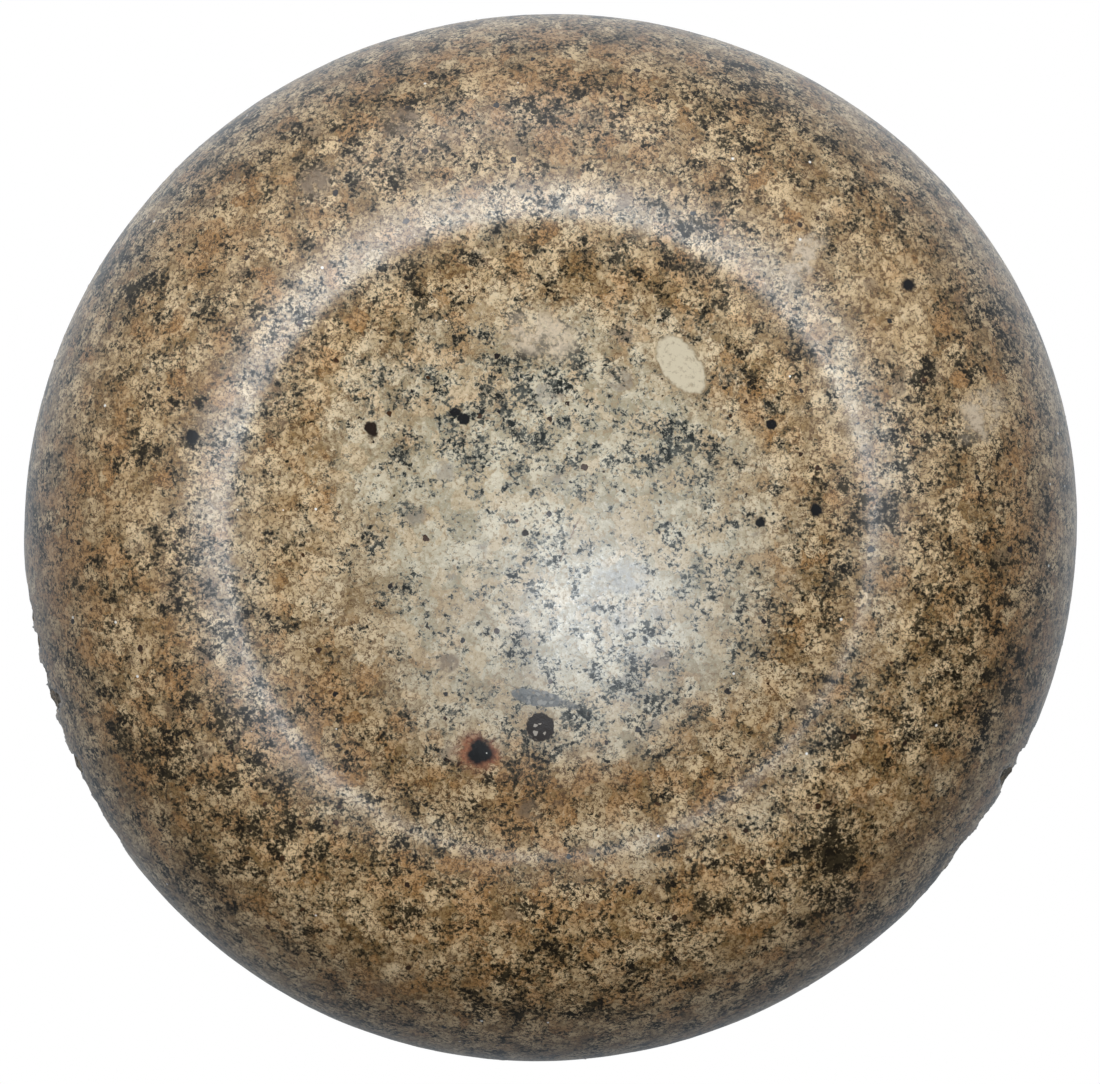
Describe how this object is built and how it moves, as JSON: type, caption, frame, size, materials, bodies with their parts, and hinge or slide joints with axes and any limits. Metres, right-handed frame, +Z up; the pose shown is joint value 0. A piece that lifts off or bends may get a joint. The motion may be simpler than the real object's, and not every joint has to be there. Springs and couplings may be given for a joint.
{
  "type": "curling stone",
  "caption": "Round granite curling stone with a cupped running face, a rough striking band and a screw-on goose-neck handle with a turned wooden grip.",
  "frame": {"origin": "centre of the running band, the flat ring that rests on the ice, so z = 0 is the ice", "axes": "+Z up through the stud and handle, +X from the stud along the grip"},
  "size_m": [0.283, 0.283, 0.1905],
  "materials": {
    "granite": "polished, with an iron-brown patina and a pecked striking band",
    "lead": "dull grey lead, poured",
    "iron": "wrought iron, oiled and a little rusty",
    "leather": "dark harness leather",
    "neck_brass": "cast brass, worn bright on top and tarnished in the hollows",
    "ferrule_brass": "turned brass",
    "cap_brass": "turned brass",
    "steel": "plain rod",
    "grip_wood": "turned and oiled dark hardwood"
  },
  "bodies": {
    "stone": {"granite_body": "granite", "lead_plug": "lead", "handle_stud": "iron"},
    "washer": {"seat_washer": "leather"},
    "handle": {"handle_neck": "neck_brass", "grip_tang": "steel", "front_ferrule": "ferrule_brass", "wooden_grip": "grip_wood", "rear_ferrule": "ferrule_brass", "cap_nut": "cap_brass"}
  },
  "joints": [
    {"name": "washer_lift", "type": "slide", "parent": "stone", "child": "washer", "axis": [0, 0, 1], "range_m": [0, 0.0159]},
    {"name": "handle_turn", "type": "hinge", "parent": "washer", "child": "handle", "pos_m": [0, 0, 0.11], "axis": [0, 0, 1], "range_deg": [0, 2700]}
  ],
  "couplings": [
    {"joint": "washer_lift", "follows": "handle_turn", "m_per_rad": 0.00033688}
  ]
}
